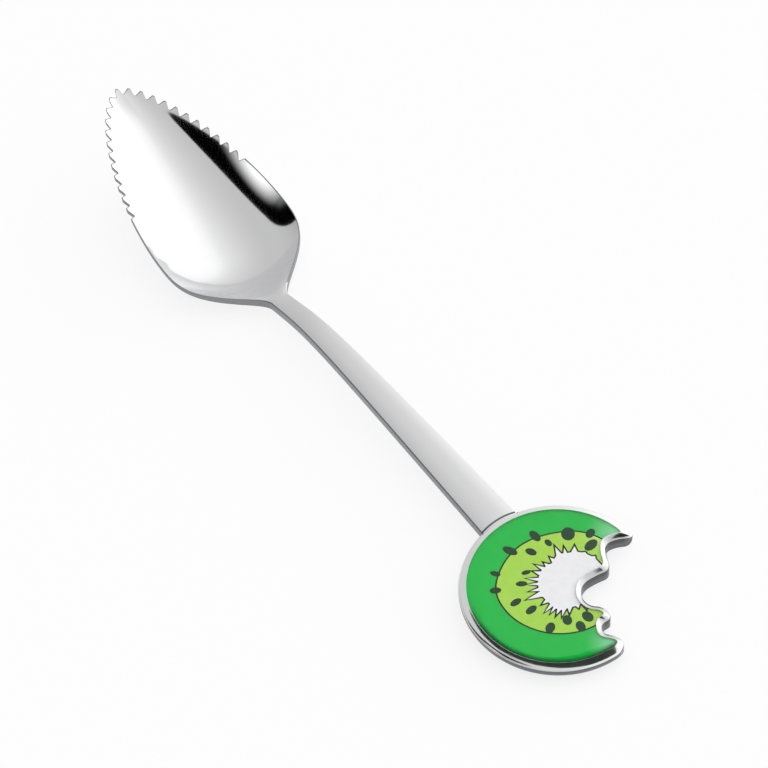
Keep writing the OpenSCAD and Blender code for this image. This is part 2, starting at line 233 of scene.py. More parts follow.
def acrossAt(x, y):
    return np.abs(y) / np.maximum(halfWidth(x), blank["leastWidth"])


def crownAt(x):
    return np.where(x <= widestX, 0, blank["crown"] * (1 - shoulderAt(x)))


def crownRise(x, y):  # nearly level across the middle, rounded down to both sides
    return crownAt(x) * (1 - acrossAt(x, y) ** blank["crownPower"])


def upperZ(x, y):
    return edgeHeight(x) + crownRise(x, y) - hollowAt(x) * (1 - acrossAt(x, y) ** blank["hollowPower"])


def uprightSheet(x, y):
    across = clamp01(acrossAt(x, y))
    endDrop = blank["endThickness"] - blank["neckThickness"]
    thickness = blank["neckThickness"] + endDrop * alongHandle(x)
    sheet = blank["sheet"] + (thickness - blank["sheet"]) * (1 - shoulderAt(x))
    power = blank["hollowPower"]
    lean = power * hollowAt(x) * across ** (power - 1) / np.maximum(halfWidth(x), blank["sheet"])
    return sheet * np.sqrt(1 + np.minimum(1, lean) ** 2) + crownAt(x) * (1 - across ** blank["crownPower"])


def lowerZ(x, y):
    return upperZ(x, y) - uprightSheet(x, y)


def faceNormals(height, x, y, sign):
    step = blank["slopeStep"]
    slopeX = (height(x + step, y) - height(x - step, y)) / (2 * step)
    slopeY = (height(x, y + step) - height(x, y - step)) / (2 * step)
    normal = np.stack([-slopeX, -slopeY, np.ones_like(slopeX)], -1) * sign
    return normal / np.linalg.norm(normal, axis=-1, keepdims=True)


def frontOutline():
    fine = tipX + blank["bowlFront"] * np.linspace(0, 1, blank["edgeSamples"]) ** 2
    edge = np.stack([fine, halfWidth(fine)], -1)
    run = np.concatenate([[0], np.cumsum(np.linalg.norm(np.diff(edge, axis=0), axis=1))])
    return run, edge


outlineRun, outlineEdge = frontOutline()
frontLength = outlineRun[-1]


def frontPoint(s):
    x = np.interp(s, outlineRun, outlineEdge[:, 0])
    return np.stack([x, halfWidth(x)], -1)


def frontInward(s):
    probe = blank["toothPitch"] / 4
    ahead = frontPoint(s + probe)
    behind = frontPoint(np.maximum(s - probe, 0))
    mirrored = s <= probe
    behind[mirrored] = frontPoint(probe - s[mirrored]) * (1, -1)
    along = ahead - behind
    along /= np.linalg.norm(along, axis=1, keepdims=True)
    return np.stack([along[:, 1], -along[:, 0]], -1)


def toothRuns():
    pitch, floor, flat = blank["toothPitch"], blank["notchFloor"], blank["toothFlat"]
    marks = [(0.0, 0.0), (flat / 2, 0.0)]
    for k in range(blank["notches"]):
        middle, end = (k + 0.5) * pitch, (k + 1) * pitch
        marks += [(middle - floor / 2, 1.0), (middle + floor / 2, 1.0), (end - flat / 2, 0.0)]
        if k < blank["notches"] - 1:
            marks.append((end + flat / 2, 0.0))
    runs, depths = [], []
    for (s0, d0), (s1, d1) in zip(marks, marks[1:]):
        steps = 4 if d0 != d1 else 1
        for t in np.arange(steps) / steps:
            runs.append(s0 + (s1 - s0) * t)
            depths.append(d0 + (d1 - d0) * t)
    rim = np.linspace(marks[-1][0], frontLength, blank["rimRibs"])
    return np.array(runs + list(rim)), np.array(depths + [0.0] * len(rim)) * blank["toothDepth"]


def blankRibs():
    runs, depths = toothRuns()
    fanX = tipX + blank["bowlFront"] * blank["fanShare"]
    fanLength = (blank["toothPitch"] - blank["notchFloor"]) / 2
    spine = clamp01((runs - fanLength) / (frontLength - fanLength))
    start = np.stack([fanX + (widestX - fanX) * spine, np.zeros_like(spine)], -1)
    end, push = frontPoint(runs), frontInward(runs) * depths[:, None]
    rear = widestX + blank["bowlRear"] * np.linspace(0, 1, blank["rearRibs"])[1:]
    spread = np.linspace(0, 1, blank["handleRibs"])[1:] ** blank["handleRibPower"]
    handle = neckX + (shoulderX - neckX) * spread
    squareX = np.concatenate([rear, handle])
    squareStart = np.stack([squareX, 0 * squareX], -1)
    squareEnd = np.stack([squareX, halfWidth(squareX)], -1)
    return (np.concatenate([start, squareStart]), np.concatenate([end, squareEnd]),
            np.concatenate([push, 0 * squareStart]))


def tangRibs(kinds, lastRib):  # the hidden tongue that the glue holds in the medallion
    tangHalf = blank["tangWidth"] / 2
    tangTop, tangBottom = blank["tangLevels"]
    share = lastRib[:, 1] / lastRib[:, 1].max()
    upper = np.arange(len(kinds)) < np.searchsorted(kinds, 1) + 4
    ribs = [np.column_stack([np.full(len(share), x), share * tangHalf,
                             np.where(upper, tangTop, tangBottom)])
            for x in (shoulderX, shoulderX + blank["tangLength"])]
    return np.stack(ribs)


def weld(points, faces, kinds, normals):  # one point for each place, and no collapsed face
    _, first, number = np.unique(np.round(points, 5), axis=0, return_index=True, return_inverse=True)
    number = number.ravel()
    keptFaces, keptKinds = [], []
    for face, kind in zip(faces, kinds):
        loop = [int(number[v]) for v in face]
        loop = [v for k, v in enumerate(loop) if v != loop[k - 1]]
        if len(set(loop)) == len(loop) and len(loop) > 2:
            keptFaces.append(loop)
            keptKinds.append(kind)
    return points[first], keptFaces, keptKinds, normals[first]


def makeBlank():
    start, end, push = blankRibs()
    reach = np.linalg.norm(end + push - start, axis=1)[:, None]
    inset = (reach - blank["edgeBreak"]) / reach
    shares = 1 - (1 - np.linspace(0, 1, blank["faceRings"])) ** blank["faceRingPower"]
    rings, kinds, normals = [], [], []

    def ribPoint(share):
        t = share * inset
        return start + (end - start) * t + push * t ** blank["pushPower"]

    def addRing(xy, z, kind, normal=None):
        rings.append(np.column_stack([xy, z]))
        kinds.append(kind)
        normals.append(np.zeros((len(xy), 3)) if normal is None else normal)

    for share in shares:
        p = ribPoint(share)
        addRing(p, upperZ(p[:, 0], p[:, 1]), 0, faceNormals(upperZ, p[:, 0], p[:, 1], 1))
    edge = end + push
    edgeUpper, edgeSheet = upperZ(edge[:, 0], edge[:, 1]), uprightSheet(edge[:, 0], edge[:, 1])
    inner = ribPoint(1.0)
    upperInner, lowerInner = upperZ(inner[:, 0], inner[:, 1]), lowerZ(inner[:, 0], inner[:, 1])

    def bend(a, corner, b, t):  # quadratic curve from a to b that leans on the corner
        return a * (1 - t) ** 2 + 2 * corner * t * (1 - t) + b * t ** 2

    upperCorner = np.column_stack([edge, edgeUpper])
    lowerCorner = np.column_stack([edge, edgeUpper - edgeSheet])
    drop = np.array([0, 0, blank["edgeBreak"]])
    upperStart, lowerEnd = np.column_stack([inner, upperInner]), np.column_stack([inner, lowerInner])
    for t in (0.25, 0.5, 0.75, 1.0):
        p = bend(upperStart, upperCorner, upperCorner - drop, t)
        addRing(p[:, :2], p[:, 2], 1)
    for t in (0.0, 0.25, 0.5, 0.75):
        p = bend(lowerCorner + drop, lowerCorner, lowerEnd, t)
        addRing(p[:, :2], p[:, 2], 1)
    for share in shares[::-2]:
        p = ribPoint(share)
        addRing(p, lowerZ(p[:, 0], p[:, 1]), 2, faceNormals(lowerZ, p[:, 0], p[:, 1], -1))

    grid = np.stack(rings, 1)  # rib, ring, point
    gridNormals = np.stack(normals, 1)
    grid = np.concatenate([grid, tangRibs(kinds, grid[-1])])
    gridNormals = np.concatenate([gridNormals, np.zeros_like(gridNormals[:2])])
    ribCount, ringCount = grid.shape[:2]
    points = np.concatenate([grid.reshape(-1, 3), grid.reshape(-1, 3) * (1, -1, 1)])
    allNormals = np.concatenate([gridNormals.reshape(-1, 3), gridNormals.reshape(-1, 3) * (1, -1, 1)])
    faces, faceKinds = [], []
    half = ribCount * ringCount
    breakRings = kinds.index(1) + 3
    handleRib = int(np.argmax(edge[:, 0] > neckX - blank["neckWidth"]))
    for side in (0, 1):
        for i in range(ribCount - 1):
            for j in range(ringCount - 1):
                a, b = i * ringCount + j, i * ringCount + j + 1
                face = [a, a + ringCount, b + ringCount, b]
                face = [v + side * half for v in (face if side == 0 else face[::-1])]
                faces.append(face)
                paintedLightEdge = j < breakRings and i > handleRib and side == 0  # painted light: one side's edge break takes the bright face material, the other keeps the dark edge one
                faceKinds.append(0 if paintedLightEdge else max(kinds[j], kinds[j + 1]))
    last = (ribCount - 1) * ringCount
    endLoop = [last + j for j in range(ringCount)]
    endLoop += [last + half + j for j in range(ringCount - 1, -1, -1)]
    faces.append(endLoop[::-1])
    faceKinds.append(1)
    return weld(points, faces, faceKinds, allNormals)


points, faces, faceKinds, normals = makeBlank()
spoonBlank = makeObject("spoon_blank_drawn", points, faces, ["spoon_blank"],
                        normals, [1 if kind == 1 else 0 for kind in faceKinds])
print("spoon blank drawn,", len(faces), "faces")


# Medallion: the casting's rim, bevel, wall and back as loops round the bitten disc

casting = {
    "biteShares": [(-0.16, 1.14), (0.005, 0.99), (-0.02, 0.92), (-0.075, 0.83), (-0.1, 0.71),
                   (-0.015, 0.635), (0.178, 0.555), (0.142, 0.39), (0.138, 0.21), (0.257, 0.105),
                   (0.385, 0.112), (0.478, 0.22), (0.638, 0.208), (0.622, 0.07), (0.72, 0.015),
                   (0.81, 0.105), (0.93, 0.128), (0.985, 0.03), (1.11, -0.17), (1.6, 1.6)],
    "flatWidth": 0.05,
    "slopeWidth": 1.1,
    "slopeFall": 0.45,
    "slopeTilts": (14.0, 33.0),  # degrees at the slope's head and foot, between which it swells
    "slopeSteps": 9,
    "innerBreak": (0.985, 0.04),  # the pocket's edge: share of the rim's width, and depth
    "backRound": 2.4,
    "backBreak": 0.3,
    "hornRound": 0.75,
    "backSteps": 15,
    "biteRounds": 5,
    "polishedTo": -0.52,  # level at which the polished rim gives way to the tumbled wall
    "arcPoints": 260,
    "bitePoints": 240,
}


def softened(points, rounds):
    for _ in range(rounds):
        ahead = np.roll(points, -1, axis=0)
        points = np.stack([points * 0.75 + ahead * 0.25, points * 0.25 + ahead * 0.75], 1).reshape(-1, 2)
    return points


def grown(points, distance, sharpest=0.0):
    side = np.roll(points, -1, axis=0) - points
    side /= np.linalg.norm(side, axis=1, keepdims=True)
    after = np.stack([side[:, 1], -side[:, 0]], -1)
    before = np.roll(after, 1, axis=0)
    turn = 1 + (before * after).sum(1, keepdims=True)
    return points + distance * (before + after) / np.maximum(turn, sharpest)


biteCorners = np.array(casting["biteShares"]) * medallionRadius


def bittenOutline(inset, biteInset):  # the disc less the bites, each drawn in by its own measure
    radius = medallionRadius - inset
    bite = softened(grown(biteCorners, biteInset), casting["biteRounds"])
    inside = np.hypot(*bite.T) < radius
    first = int(np.argmax(inside & ~np.roll(inside, 1)))
    bite, inside = np.roll(bite, -first, axis=0), np.roll(inside, -first)
    count = int(np.argmin(inside))

    def crossing(a, b):
        low, high = 0.0, 1.0
        for _ in range(40):
            middle = (low + high) / 2
            if (np.hypot(*(a + (b - a) * middle)) < radius) == (np.hypot(*a) < radius):
                low = middle
            else:
                high = middle
        return a + (b - a) * low

    upperHorn, lowerHorn = crossing(bite[-1], bite[0]), crossing(bite[count - 1], bite[count])
    path = np.concatenate([[upperHorn], bite[:count], [lowerHorn]])
    run = np.concatenate([[0], np.cumsum(np.linalg.norm(np.diff(path, axis=0), axis=1))])
    steps = np.linspace(0, run[-1], casting["bitePoints"] + 1)
    biteLine = np.stack([np.interp(steps, run, path[:, 0]), np.interp(steps, run, path[:, 1])], -1)
    start = math.atan2(upperHorn[1], upperHorn[0])
    stop = math.atan2(lowerHorn[1], lowerHorn[0]) + 2 * math.pi
    angles = np.linspace(start, stop, casting["arcPoints"] + 1)
    arc = radius * np.stack([np.cos(angles), np.sin(angles)], -1)
    loop = np.concatenate([arc[:-1], biteLine[::-1][:-1]])
    return roundHorns(loop, (0, casting["arcPoints"]))


def roundHorns(loop, corners):
    loop = loop.copy()
    for corner in corners:
        spacing = np.linalg.norm(loop - np.roll(loop, 1, axis=0), axis=1)
        reach = max(2, int(round(casting["hornRound"] / spacing.mean())))
        tip = loop[corner].copy()
        a, b = loop[corner - reach].copy(), loop[(corner + reach) % len(loop)].copy()
        for k in range(-reach + 1, reach):
            t = (k + reach) / (2 * reach)
            loop[(corner + k) % len(loop)] = a * (1 - t) ** 2 + 2 * tip * t * (1 - t) + b * t ** 2
    return loop


def castingSection():  # (share of the rim's width, inset of the back's round, level)
    top, rim, steps = medallion["rimHeight"], medallion["rimWidth"], casting["slopeSteps"]
    breakShare, breakDepth = casting["innerBreak"]
    section = [(1.0, 0, medallion["pocketFloor"]), (1.0, 0, top - breakDepth), (breakShare, 0, top)]
    headTilt, footTilt = np.radians(casting["slopeTilts"])
    head = rim - casting["flatWidth"]
    falls = np.tan(np.linspace(headTilt, footTilt, steps))
    drops = np.concatenate([[0], np.cumsum((falls[1:] + falls[:-1]) / 2)])
    for t, drop in zip(np.linspace(0, 1, steps), drops / drops[-1]):
        section.append(((head - casting["slopeWidth"] * t) / rim, 0, top - casting["slopeFall"] * drop))
    slopeFoot = np.array([head - casting["slopeWidth"], top - casting["slopeFall"]])
    edgeRound = slopeFoot[0] / (1 - math.sin(footTilt))
    centre = slopeFoot - edgeRound * np.array([-math.sin(footTilt), math.cos(footTilt)])
    for angle in np.linspace(footTilt, math.pi / 2, steps)[1:]:
        u, level = centre + edgeRound * np.array([-math.sin(angle), math.cos(angle)])
        section.append((max(u, 0) / rim, 0, level))
    backRound, backBreak = casting["backRound"], casting["backBreak"]
    backCentre = medallionBack + backRound
    for angle in np.radians(np.linspace(0, 90, casting["backSteps"])):
        level = backCentre - backRound * math.sin(angle)
        biteShare = max(0.0, backBreak - (level - medallionBack)) / medallion["biteRimWidth"]
        section.append((biteShare, backRound * (1 - math.cos(angle)), level))
    return section


def tubeFaces(count, size):  # joins closed rings of the same size, and caps both ends
    faces = []
    for r in range(count - 1):
        for k in range(size):
            a, b = r * size + k, r * size + (k + 1) % size
            faces.append([a, a + size, b + size, b])
    faces.append([(count - 1) * size + k for k in range(size)][::-1])
    faces.append(list(range(size)))
    return faces


def makeCasting():
    rings = []
    for share, backInset, level in castingSection():
        inset = backInset if level < casting["backRound"] + medallionBack else share * medallion["rimWidth"]
        loop = bittenOutline(inset, share * medallion["biteRimWidth"])
        rings.append(np.column_stack([loop, np.full(len(loop), level)]))
    return np.concatenate(rings), tubeFaces(len(rings), len(rings[0]))


points, faces = makeCasting()
castingPiece = makeObject("medallion_casting_drawn", points, faces, ["medallion_casting"])


def cutBox(piece, low, high):  # takes a box out of a piece, both in the medallion's frame
    corners = [(x, y, z) for x in (low[0], high[0]) for y in (low[1], high[1]) for z in (low[2], high[2])]
    sides = [(0, 1, 3, 2), (4, 6, 7, 5), (0, 4, 5, 1), (2, 3, 7, 6), (0, 2, 6, 4), (1, 5, 7, 3)]
    mesh = bpy.data.meshes.new("cutter")
    mesh.from_pydata([tuple(p) for p in onTable(corners)], [], sides)
    cutter = bpy.data.objects.new("cutter", mesh)
    bpy.context.scene.collection.objects.link(cutter)
    cut = piece.modifiers.new("cut", "BOOLEAN")
    cut.operation, cut.solver, cut.object = "DIFFERENCE", "EXACT", cutter
    graph = bpy.context.evaluated_depsgraph_get()
    piece.data = bpy.data.meshes.new_from_object(piece.evaluated_get(graph))
    piece.modifiers.clear()
    bpy.data.objects.remove(cutter)


lip = {  # the thin lip that the casting's slot leaves on the handle
    "radius": 0.16,
    "beyondRim": 0.2,
    "sides": 10,
    "steps": 32,
}


def makeLip():
    reach = medallionRadius + lip["beyondRim"]
    half = blank["endWidth"] / 2 - lip["radius"]
    rings = []
    for y in np.linspace(-half, half, lip["steps"] + 1):
        x = -math.sqrt(reach ** 2 - y ** 2)
        centre = np.array([x, y, float(upperZ(np.array(x), np.array(y)))])
        outward = np.array([x, y, 0]) / reach
        for angle in np.linspace(0, 2 * math.pi, lip["sides"], endpoint=False):
            rings.append(centre + lip["radius"] * (outward * math.cos(angle) + (0, 0, math.sin(angle))))
    return np.array(rings), tubeFaces(lip["steps"] + 1, lip["sides"])


points, faces = makeLip()
lipPiece = makeObject("joint_lip", points, faces)

recess = {
    "gap": 0.12,
    "overrun": 1.0,
}
gap, overrun = recess["gap"], recess["overrun"]
slotHalf = blank["endWidth"] / 2 + gap
cutBox(castingPiece, (-medallionRadius - overrun, -slotHalf, handleTop - blank["endThickness"] - gap),
       (shoulderX, slotHalf, handleTop + blank["crown"] + gap))
socketHalf = blank["tangWidth"] / 2 + gap
cutBox(castingPiece, (shoulderX - overrun, -socketHalf, blank["tangLevels"][1] - gap),
       (shoulderX + blank["tangLength"] + gap, socketHalf, blank["tangLevels"][0] + gap))
castingPiece.data.set_sharp_from_angle(angle=math.radians(40))
fromTable = tablePlace.inverted()
for face in castingPiece.data.polygons:
    face.material_index = int((fromTable @ face.center).z / mm < casting["polishedTo"])
print("casting drawn,", len(faces), "faces")


# Clear coat: resin poured inside the rim, domed by its own skin

coat = {
    "edgeLevel": 0.06,
    "domeHeight": 0.32,
    "domeReach": 1.5,
    "gridStep": 0.5,
    "gridFrom": 1.3,  # mm from the edge, inside which bands follow it instead
    "bandInsets": (0.12, 0.26, 0.42, 0.62, 0.86, 1.12),
    "bandCrowding": 0.8,
    "bottom": -0.245,
}


def distanceToLoop(points, loop):
    best = np.full(len(points), np.inf)
    for p, q in zip(loop, np.roll(loop, -1, axis=0)):
        side = q - p
        t = clamp01(((points - p) @ side) / max(side @ side, tolerance ** 2))
        best = np.minimum(best, np.linalg.norm(points - p - t[:, None] * side, axis=1))
    return best


def insideLoop(points, loop):  # by counting how often the loop winds round each point
    x, y = points.T
    turns = np.zeros(len(points), int)
    for (x0, y0), (x1, y1) in zip(loop, np.roll(loop, -1, axis=0)):
        if y0 != y1:
            left = ((y0 > y) != (y1 > y)) & (x < (x1 - x0) * (y - y0) / (y1 - y0) + x0)
            turns[left] += 1 if y1 > y0 else -1
    return turns != 0


def domeLevel(distance):
    rise = 1 - np.exp(-distance / coat["domeReach"])
    return coat["edgeLevel"] + coat["domeHeight"] * rise


def makeCoat():
    edge = bittenOutline(medallion["rimWidth"], medallion["biteRimWidth"])[::2]
    step = coat["gridStep"]
    span = np.arange(-medallionRadius, medallionRadius, step)
    rows = np.stack(np.meshgrid(span, span, indexing="ij"), -1).reshape(-1, 2)
    rows = rows[insideLoop(rows, edge)]
    rows = rows[distanceToLoop(rows, edge) > coat["gridFrom"]]
    bands = []
    for inset in coat["bandInsets"]:
        share = inset / medallion["biteRimWidth"] + 1
        band = bittenOutline(medallion["rimWidth"] + inset, share * medallion["biteRimWidth"])[::3]
        bands.append(band[distanceToLoop(band, edge) > inset * coat["bandCrowding"]])
    flat = np.concatenate([edge, rows, *bands])
    count = len(edge)
    borders = [(k, (k + 1) % count) for k in range(count)]
    kept, _, faces, _, _, _ = geometry.delaunay_2d_cdt([Vector(p) for p in flat], borders, [], 1, tolerance)
    kept = np.array([tuple(p) for p in kept])
    points = np.column_stack([kept, domeLevel(distanceToLoop(kept, edge))])
    edgeBottom = np.column_stack([edge, np.full(count, coat["bottom"])])
    edgeTop = [int(np.argmin(np.hypot(*(kept - p).T))) for p in edge]
    base = len(points)
    faces = [list(f) for f in faces]
    for k in range(count):
        n = (k + 1) % count
        faces.append([edgeTop[n], edgeTop[k], base + k, base + n])
    faces.append([base + k for k in range(count)][::-1])
    return np.concatenate([points, edgeBottom]), faces


points, faces = makeCoat()
coatPiece = makeObject("clear_coat_domed", points, faces, ["clear_coat"])
coatPiece.data.set_sharp_from_angle(angle=math.radians(50))
print("coat drawn,", len(faces), "faces")


# Enamel fields: a slice of kiwi, cut up along the dark lines that part its colours

picture = {  # spots are pixels of the photo, read in an enlarged view of it
    "top": -0.25,
    "lineWidth": 0.28,
    "seedLine": 0.09,
    "seedSides": 20,
    "sharpest": 0.15,  # how far a line may run past a ray's tip: less is farther
    "fleshShare": 0.615,
    "fleshBulges": (1, 1.06, 1.15, 1.23, 1.17, 1.03, 1.01, 0.99, 1.04, 0.98, 0.94, 0.95),  # every 30 degrees
    "coreCentreShare": (0.068, 0.146),
    "rayFeet": ((591, 601.5), (605.5, 588), (596.5, 559.5), (579.5, 551.5), (567, 552.5), (557, 554),
                (552, 562.5), (542, 568.5), (537.5, 582), (540, 592.5), (548.5, 602), (554.5, 607.5),
                (561, 609.5), (569, 607), (580, 603)),
    "rays": ((604.5, 602, 4), (611.5, 592, 4), (612, 577, 4), (607.5, 566, 4), (594.5, 555.5, 4),
             (584.5, 551.5, 4), (574, 545.5, 5), (563.5, 547.5, 3), (554.5, 546.5, 4.5), (549.5, 557, 4),
             (543.5, 562.5, 3.5), (535, 564.5, 3.5), (533, 571, 4), (526, 578, 3), (526.5, 584, 2.5),
             (529, 591, 3), (526.5, 599, 5.5), (542, 603.5, 3.5), (544, 612, 3), (550, 613, 2.5),
             (556, 614, 3), (561.5, 616, 3), (569, 612.5, 4), (578, 607.5, 5), (585.5, 608, 4)),
    "seeds": ((534.5, 535.5, 538.8, 540, 0.55), (567.5, 533.3, 567.5, 539.5, 0.85),
              (589.8, 532.8, 592.3, 528.8, 0.7), (590.5, 544.5, 595.5, 539.8, 0.6),
              (509.5, 550.3, 516.3, 553.2, 0.5), (530.5, 551.3, 535.5, 553.3, 0.62),
              (547.8, 542.3, 550.3, 545, 0.65), (494.8, 573.3, 499.5, 574.5, 0.5),
              (525.5, 572, 529.5, 571, 0.5), (521, 583.3, 526.3, 583, 0.5), (495, 590, 500.3, 589.5, 0.6),
              (515.3, 601.8, 520, 598.8, 0.52), (530.8, 609.3, 535.3, 605.8, 0.55),
              (549.8, 627.3, 551.8, 622.5, 0.7), (566.8, 619.5, 568, 624, 0.8),
              (580.3, 625.8, 582.8, 630.5, 0.7), (587.3, 616, 591.2, 620.2, 0.75)),
}  # rays: tip and half the foot's turn; seeds: middle, end and slimness


def underPixels(spots):  # lays spots of the photo on the enamel's level, through the camera
    right, up, back = cameraAxes()
    focal = camera["lens"] / camera["sensor"] * camera["pixels"]
    across, down = (np.asarray(spots, float) - camera["middlePixel"]).T / focal
    rays = np.outer(across, right) - np.outer(down, up) - np.array(back)
    place = np.array(camera["place"])
    return (place + rays * (picture["top"] - place[2]) / rays[:, 2:])[:, :2]


def onCircle(degrees):
    return np.stack([np.cos(np.radians(degrees)), np.sin(np.radians(degrees))], -1)


def fleshLoop(grow):
    bulges = np.array(picture["fleshBulges"])[:, None]
    corners = bulges * onCircle(np.arange(len(bulges)) * 360 / len(bulges))
    return softened(grown(corners * picture["fleshShare"] * medallionRadius, grow), 3)


def coreLoop():
    centre = np.array(picture["coreCentreShare"]) * medallionRadius

    def aroundCentre(spots):
        offset = underPixels(spots) - centre
        return np.degrees(np.arctan2(offset[:, 1], offset[:, 0])) % 360, np.hypot(*offset.T)

    footTurns, footRadii = aroundCentre(picture["rayFeet"])
    rays = np.array(picture["rays"])
    loop = []
    for turn, tip, half in zip(*aroundCentre(rays[:, :2]), rays[:, 2]):
        for side in (-half, 0, half):
            foot = np.interp(turn + side, footTurns, footRadii, period=360)
            loop.append(centre + (tip if side == 0 else foot) * onCircle(turn + side))
    return np.array(loop)


def seedLoop(seed, grow):
    middle, end = underPixels(np.reshape(seed[:4], (2, 2)))
    half, slimness = np.hypot(*(end - middle)), seed[4]
    along = (end - middle) / half
    around = onCircle(np.arange(picture["seedSides"]) * 360 / picture["seedSides"])
    around *= (half + grow, half * slimness + grow)
    return middle + around @ np.array([along, (-along[1], along[0])])


def fieldSolid(flat, triangles):
    used, numbers = np.unique(triangles, return_inverse=True)
    triangles, count = numbers.reshape(-1, 3), len(used)
    sides = {(int(a), int(b)) for corners in triangles for a, b in zip(corners, np.roll(corners, -1))}
    faces = [list(t) for t in triangles] + [[v + count for v in t[::-1]] for t in triangles]
    faces += [[a + count, b + count, b, a] for a, b in sorted(sides) if (b, a) not in sides]
    levels = np.repeat([picture["top"], medallion["pocketFloor"]], count)
    return np.column_stack([np.tile(flat[used], (2, 1)), levels]), faces


def makeFields():  # each shape is painted over those before it, and the triangles go to the last
    edge = bittenOutline(medallion["rimWidth"], medallion["biteRimWidth"])[::2]
    core, line = coreLoop(), picture["lineWidth"]
    painted = [("skin_enamel", edge),
               ("outline_enamel", fleshLoop(line)), ("flesh_enamel", fleshLoop(0)),
               ("outline_enamel", grown(core, line, picture["sharpest"])), ("core_enamel", core)]
    for seed in picture["seeds"]:
        painted += [("outline_enamel", seedLoop(seed, picture["seedLine"])),
                    ("seed_enamel", seedLoop(seed, 0))]
    spots, borders = [], []
    for _, loop in painted:
        borders += [(len(spots) + k, len(spots) + (k + 1) % len(loop)) for k in range(len(loop))]
        spots += [Vector(p) for p in loop]
    kept, _, faces, _, _, _ = geometry.delaunay_2d_cdt(spots, borders, [], 0, tolerance)
    flat, triangles = np.array([tuple(p) for p in kept]), np.array([list(f) for f in faces])
    first, second, third = flat[triangles].transpose(1, 0, 2)
    turned = np.cross(second - first, third - first) < 0
    triangles[turned] = triangles[turned][:, ::-1]
    middles = flat[triangles].mean(1)
    owner = np.full(len(triangles), "", dtype=object)
    for node, loop in painted:
        owner[insideLoop(middles, loop)] = node
    owner[~insideLoop(middles, edge)] = ""
    return {node: fieldSolid(flat, triangles[owner == node]) for node in fieldSlots}


fieldSlots = {"skin_enamel": "green_enamel", "flesh_enamel": "lime_enamel", "core_enamel": "white_enamel",
              "seed_enamel": "dark_enamel", "outline_enamel": "line_enamel"}
fields = {}
for node, (points, faces) in makeFields().items():
    fields[node] = makeObject(node + "_drawn", points, faces, [node])
    fields[node].data.set_sharp_from_angle(angle=math.radians(30))
    print(node, "drawn,", len(faces), "faces")


# Materials

softly = {"interpolation_type": "SMOOTHSTEP"}


def linearColour(hexValue):
    channels = [int(hexValue[k:k + 2], 16) / 255 for k in (1, 3, 5)]
    return [c / 12.92 if c <= 0.04045 else ((c + 0.055) / 1.055) ** 2.4 for c in channels] + [1.0]


def addNode(tree, kind, settings=(), out=0):  # links the values that are sockets of other nodes
    node = tree.nodes.new("ShaderNode" + kind)
    for name, value in dict(settings).items():
        if isinstance(value, str) and value.startswith("#"):
            value = linearColour(value)
        if isinstance(value, bpy.types.NodeSocket):
            tree.links.new(value, node.inputs[name])
        elif isinstance(name, int) or name in node.inputs:
            node.inputs[name].default_value = value
        else:
            setattr(node, name, value)
    return node.outputs[out] if node.outputs else node


def newMaterial(name):
    material = bpy.data.materials.new(name)
    material.use_nodes = True
    material.node_tree.nodes.clear()
    add = partial(addNode, material.node_tree)
    return material, add, add("TexCoord", out="Object")  # metres, where the part stands


def perSpacing(spacing):  # a pattern's scale, from a real size in millimetres
    return 1 / (spacing * mm)


steel = {
    "colour": "#ececed",  # 18/8 stainless steel
    "mirrorRoughness": 0.05,
    "rearRoughness": 0.27,  # behind the hollow, where the buff can't reach
    "rearFrom": -40.0,  # mm along the spoon at which the mirror polish starts to give way
    "rearTo": -30.0,
    "satinColour": "#e2e2e3",
    "satinRoughness": 0.16,
    "satinFrom": -28.0,
    "satinTo": -12.0,
    "brushSpacing": 0.14,  # mm, three times the real brush lines, which would not show
    "brushLength": 9.0,
    "brushDepth": 0.01,
    "brushStrength": 0.12,
    "hazeSpacing": 6.0,  # mm between the faint clouds that the buff leaves
    "haze": 0.03,
}


def makeSteel():
    # Stainless steel, buffed to a mirror in the bowl and brushed lengthwise on the handle: sharp
    # reflections at one end, a soft grey sheen with faint lines along the handle at the other
    material, add, place = newMaterial("buffedAndBrushedStainlessSteel")
    along = add("SeparateXYZ", {0: place}, "X")
    satin = add("MapRange", {
        **softly, "Value": along, "From Min": steel["satinFrom"] * mm, "From Max": steel["satinTo"] * mm})
    rear = add("MapRange", {
        **softly, "Value": along, "From Min": steel["rearFrom"] * mm, "From Max": steel["rearTo"] * mm,
        "To Min": steel["mirrorRoughness"], "To Max": steel["rearRoughness"]})
    fall = add("Math", {
        "operation": "MULTIPLY", 0: satin, 1: steel["rearRoughness"] - steel["satinRoughness"]})
    rough = add("Math", {"operation": "SUBTRACT", 0: rear, 1: fall})
    clouds = add("TexNoise", {"Vector": place, "Scale": perSpacing(steel["hazeSpacing"]), "Detail": 3.0})
    varied = add("Math", {"operation": "MULTIPLY_ADD", 0: clouds, 1: steel["haze"], 2: rough})
    shown = add("Mix", {"data_type": "RGBA", 0: satin, 6: steel["colour"], 7: steel["satinColour"]}, 2)
    fine = perSpacing(steel["brushSpacing"])
    drawnOut = add("Mapping", {"Vector": place, "Scale": (perSpacing(steel["brushLength"]), fine, fine)})
    lines = add("TexNoise", {"Vector": drawnOut, "Scale": 1.0, "Detail": 2.0})
    height = add("Math", {"operation": "MULTIPLY", 0: lines, 1: satin})
    bump = add("Bump", {
        "Height": height, "Strength": steel["brushStrength"], "Distance": steel["brushDepth"] * mm})
    shader = add("BsdfPrincipled", {
        "Metallic": 1.0, "Base Color": shown, "Roughness": varied, "Normal": bump})
    add("OutputMaterial", {"Surface": shader})
    return material


